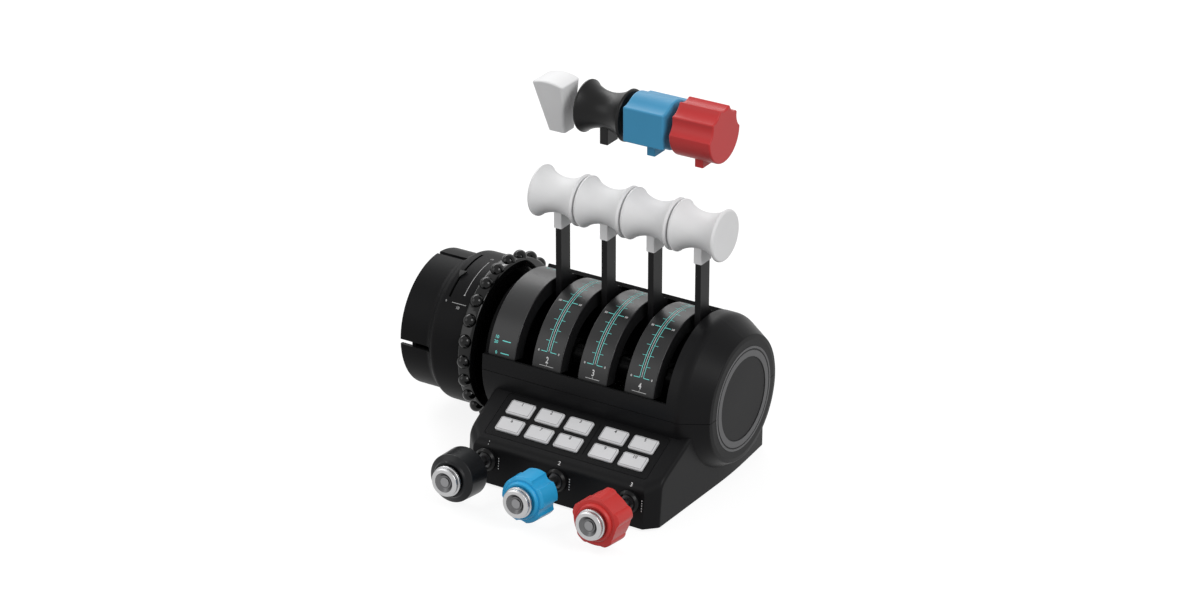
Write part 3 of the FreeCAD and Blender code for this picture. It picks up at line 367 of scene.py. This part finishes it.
# ---- Trim wheel, drum and collar -------------------------------------------------------------
# A glossy moulded wheel with round bumps turns beside a fixed drum.  The drum carries a slot for
# the trim pointer with a printed range, and ends in an open slotted collar closed by a bulkhead.
drum_radius = 58.5 * mm
wheel_x = -110.1 * mm
wheel_half = 5.8 * mm
wheel_radius = 61.3 * mm
rim_inner = 54.3 * mm
rim_bevel = 1.9 * mm
web_half = 1.5 * mm
hub_outer = 30.1 * mm
hub_inner = 26.05 * mm
hub_left = 9.5 * mm
hub_right = 7.5 * mm
bumps = 24
first_bump = 2.1                    # degrees above the front horizontal
bump_ring = 60.4 * mm
bump_radius = 5.5 * mm
dress(plastic("drum_black", (0.0068, 0.0068, 0.0072), 0.42, 0.05),
      "drum_cover", "wheel_spigot", "drum_bulkhead")
wheel_gloss = plastic("wheel_gloss", (0.0012, 0.0012, 0.0013), 0.1, 0.26, depth=0.0002 * mm)

wheel = bmesh.new()
section = []
for x, radius in ((-wheel_half, rim_inner), (-web_half, rim_inner), (-web_half, hub_outer),
                  (-hub_left, hub_outer), (-hub_left, hub_inner), (hub_right, hub_inner),
                  (hub_right, hub_outer), (web_half, hub_outer), (web_half, rim_inner),
                  (wheel_half, rim_inner), (wheel_half, wheel_radius), (-wheel_half, wheel_radius)):
    section.append(wheel.verts.new((wheel_x + x, 0, axle_height + radius)))
wheel.faces.new(section)
outer = [edge for edge in wheel.edges if all(abs(v.co.z - axle_height - wheel_radius) < 0.01 * mm
                                             for v in edge.verts)]
bmesh.ops.bevel(wheel, geom=[v for edge in outer for v in edge.verts], offset=rim_bevel,
                affect="VERTICES", segments=5, profile=0.5, material=-1)
bmesh.ops.spin(wheel, geom=wheel.faces[:], cent=(0, 0, axle_height), axis=(1, 0, 0),
               angle=math.tau, steps=192, use_merge=True)
bmesh.ops.delete(wheel, geom=[face for face in wheel.faces if abs(face.normal.y) > 0.9999
                              and abs(face.calc_center_median().y) < 0.01 * mm], context="FACES_ONLY")
bmesh.ops.remove_doubles(wheel, verts=wheel.verts, dist=0.005 * mm)
for i in range(bumps):
    turn = math.radians(first_bump + 360 / bumps * i)
    centre = Vector((wheel_x, -bump_ring * math.cos(turn), axle_height + bump_ring * math.sin(turn)))
    radial = Matrix.Rotation(math.pi / 2 - turn, 4, "X")
    bmesh.ops.create_uvsphere(wheel, u_segments=32, v_segments=20, radius=bump_radius,
                              matrix=Matrix.Translation(centre) @ radial)
bmesh.ops.recalc_face_normals(wheel, faces=wheel.faces)
wheel_mesh = bpy.data.meshes.new("bumped_wheel")
wheel.to_mesh(wheel_mesh)
wheel.free()
wheel_mesh.shade_smooth()
wheel_mesh.set_sharp_from_angle(angle=math.radians(35))
wheel_mesh.materials.append(wheel_gloss)
bumped_wheel = bpy.data.objects.new("bumped_wheel", wheel_mesh)
bpy.context.scene.collection.objects.link(bumped_wheel)
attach(bumped_wheel, "trim_wheel")
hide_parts("trim_wheel")
dress(plastic("pointer_black", (0.006, 0.006, 0.006), 0.3, 0.3), "trim_pointer")
dress(steel, "bulkhead_screws")
place = on_barrel(drum_radius, 0, 0)


def round_drum(angle):
    return math.radians(angle) * drum_radius


drum_marks = bmesh.new()
bar(drum_marks, place, (-131.4 * mm, -118.6 * mm),
    (round_drum(42) - 0.2 * mm, round_drum(42) + 0.2 * mm))
bar(drum_marks, place, (-123.7 * mm, -123.3 * mm), (round_drum(50), round_drum(86)))
bar(drum_marks, place, (-124.1 * mm, -122.9 * mm), (round_drum(49), round_drum(50)))
numeral(drum_marks, place, "10", -125.0 * mm, round_drum(39.0), 2.2 * mm)
numeral(drum_marks, place, "10", -124.4 * mm, round_drum(91.0), 2.0 * mm)
numeral(drum_marks, place, "0", -136.6 * mm, round_drum(42.2), 1.6 * mm)
printed("drum_marks", drum_marks, ink("drum_ink", (0.42, 0.42, 0.42)))


# ---- Levers and their grips ------------------------------------------------------------------
# Four flat steel arms, painted black, swing on one axle.  Each carries a waisted grip moulded in
# matt white plastic and pressed over the end of the arm.
dress(plastic("lever_black", (0.004, 0.004, 0.0044), 0.34, 0.13),
      *["lever_%d" % i for i in (1, 2, 3, 4)])
grip_white = plastic("grip_white", (0.74, 0.74, 0.745), 0.5, 0.3)
dress(grip_white, *["lever_grip_%d" % i for i in (1, 2, 3, 4)])
dress(steel, "lever_axle")
dress(housing_black, "axle_spacers", "lever_sensors", "travel_sensors")


# ---- Spare grips -----------------------------------------------------------------------------
# A white wedge, a black spool, a blue block and a red fluted drum, moulded like the white grips,
# stand ready above the levers to be swapped with them.
dress(grip_white, "spare_grip_wedge")
dress(plastic("grip_black", (0.004, 0.004, 0.0043), 0.36, 0.22), "spare_grip_spool")
dress(plastic("grip_blue", (0.047, 0.26, 0.455), 0.45, 0.25), "spare_grip_block")
dress(plastic("grip_red", (0.46, 0.026, 0.027), 0.42, 0.3), "spare_grip_drum")


# ---- Buttons ---------------------------------------------------------------------------------
# Ten push buttons, painted satin silver with a thin border and a small number at the top of each,
# stand proud of a thin black bezel that lies flush in the sloped apron.
slope = math.radians(26)
apron_y = -58.8 * mm                # top of the apron
apron_z = axle_height - 13.5 * mm
button_face = 1.7 * mm              # above the apron
column_x = [(-53.15 + 25.4 * i) * mm for i in range(3)] + [27.75 * mm, 53.15 * mm]
row_v = (-12.5 * mm, -28.8 * mm)
dress(plastic("bezel_black", (0.0032, 0.0032, 0.0036), 0.38, 0.1), "button_bezel")
dress(board_green, "button_board")
dress(plastic("button_silver", (0.59, 0.59, 0.60), 0.4, 0.4, depth=0.002 * mm),
      *["button_%d" % i for i in range(1, 11)])
button_ink = ink("button_ink", (0.02, 0.02, 0.022))
border_ink = ink("border_ink", (0.08, 0.08, 0.082))
border_u = 9.3 * mm                 # half the width and half the height of the printed border
border_v = 5.2 * mm
line_half = 0.11 * mm
uncut = 20 * mm                     # longer than any border, so flat bars stay whole


def on_button(u, v, w):
    """Lays artwork on the button faces: u along X, v up the slope, w out of it."""
    out = button_face + w
    return Vector((u, apron_y + v * math.cos(slope) - out * math.sin(slope),
                   apron_z + v * math.sin(slope) + out * math.cos(slope)))


for i in range(10):
    middle_u = column_x[i % 5]
    middle_v = row_v[i // 5]
    label = bmesh.new()
    numeral(label, on_button, str(i + 1), middle_u, middle_v + 3.7 * mm, 2.7 * mm)
    printed("button_number_%d" % (i + 1), label, button_ink, "button_%d" % (i + 1))
    border = bmesh.new()
    for end in (-1, 1):
        side_u = middle_u + end * border_u
        side_v = middle_v + end * border_v
        bar(border, on_button, (side_u - line_half, side_u + line_half),
            (middle_v - border_v - line_half, middle_v + border_v + line_half), uncut)
        bar(border, on_button, (middle_u - border_u + line_half, middle_u + border_u - line_half),
            (side_v - line_half, side_v + line_half), uncut)
    printed("button_border_%d" % (i + 1), border, border_ink, "button_%d" % (i + 1))


# ---- Push-pull controls ----------------------------------------------------------------------
# Three polished shafts slide in bushes that are nutted into moulded collars on the front face.
# Each has its own knob, black and round, blue with lobes or red with flats, and a silver cap.
lean = math.radians(6)
control_x = (-61.6 * mm, 0.0, 61.6 * mm)
control_up = 19.1 * mm
front_y = -106 * mm                 # foot of the front face
front_z = 2 * mm
front_length = 31.244 * mm          # up the front face to where it would meet the apron
brow_radius = 9 * mm
brow_turn = math.radians(90 - 6 - 26)
brow_start = front_length - brow_radius * math.tan(brow_turn / 2)
dress(plastic("knob_black", (0.0045, 0.005, 0.006), 0.34, 0.22), "control_knob_1")
dress(plastic("knob_blue", (0.022, 0.33, 0.62), 0.34, 0.3), "control_knob_2")
dress(plastic("knob_red", (0.54, 0.035, 0.032), 0.38, 0.28), "control_knob_3")
dress(metal("shaft_steel", (0.16, 0.16, 0.165), 0.3),
      *["plunger_shaft_%d" % i for i in (1, 2, 3)])
dress(metal("bush_dark", (0.09, 0.09, 0.092), 0.35), "shaft_bushes")
dress(plastic("collar_black", (0.0035, 0.0035, 0.0038), 0.3, 0.15),
      *["shaft_collar_%d" % i for i in (1, 2, 3)])
cap_dish_radius = 7.5 * mm
cap_button_radius = 3.65 * mm


def on_front(u, v, w):
    """Lays artwork on the front face and round its brow: u along X, v up from the foot."""
    past = min(max(v - brow_start, 0.0), brow_radius * brow_turn)
    straight = min(v, brow_start)
    heading = math.pi / 2 - lean
    turned = heading - past / brow_radius
    y = straight * math.cos(heading) + brow_radius * (math.sin(heading) - math.sin(turned))
    z = straight * math.sin(heading) + brow_radius * (math.cos(turned) - math.cos(heading))
    return Vector((u, front_y + y - w * math.sin(turned), front_z + z + w * math.cos(turned)))


def cap_metal(name, foot):
    """Satin aluminium, its colour darkened as painted shade in the dish and in the button in its
    middle.
    """
    tree = ShaderTree(bpy.data.materials.new(name))
    place = tree.node("ShaderNodeTexCoord", {}, {}, output=3)
    offset = tree.node("ShaderNodeVectorMath", {"operation": "SUBTRACT"}, {0: place, 1: foot})
    across = tree.node("ShaderNodeVectorMath", {"operation": "DOT_PRODUCT"},
                       {0: offset, 1: (1, 0, 0)}, output=1)
    up = tree.node("ShaderNodeVectorMath", {"operation": "DOT_PRODUCT"},
                   {0: offset, 1: (0, math.sin(lean), math.cos(lean))}, output=1)
    radius = (across * across + up * up).root()
    brushed = tree.node("ShaderNodeTexNoise", {}, {"Vector": place, "Scale": 1200.0, "Detail": 2.0})
    # Painted shade: inside cap_dish_radius the colour drops from 0.46 to 0.13, and the button inside
    # cap_button_radius gets 0.24, standing for the dark that the dish reflects.
    shaded_dish = tree.node("ShaderNodeMix", {"data_type": "RGBA"}, {
        0: radius < cap_dish_radius, 6: (0.46, 0.46, 0.465, 1), 7: (0.13, 0.13, 0.133, 1)}, output=2)
    shade = tree.node("ShaderNodeMix", {"data_type": "RGBA"}, {
        0: radius < cap_button_radius, 6: shaded_dish, 7: (0.24, 0.24, 0.245, 1)}, output=2)
    surface = tree.node("ShaderNodeBsdfPrincipled", {}, {
        "Base Color": shade, "Roughness": brushed * 0.06 + 0.27, "Metallic": 1.0})
    tree.node("ShaderNodeOutputMaterial", {}, {"Surface": surface})
    return tree.owner


for i, x in enumerate(control_x):
    dress(cap_metal("cap_silver_%d" % (i + 1), on_front(x, control_up, 0)), "release_cap_%d" % (i + 1))

label_up = 32.1 * mm
dot_left = 10.1 * mm
dot_right = 10.9 * mm
dot_half = 0.5 * mm
control_marks = bmesh.new()
for i, x in enumerate(control_x):
    numeral(control_marks, on_front, str(i + 1), x, label_up, 3.0 * mm)
    for dot in range(5):
        level = control_up + (3.0 - 2.0 * dot) * mm
        bar(control_marks, on_front, (x + dot_left, x + dot_right),
            (level - dot_half, level + dot_half))
printed("control_marks", control_marks, ink("control_ink", (0.62, 0.62, 0.62)))
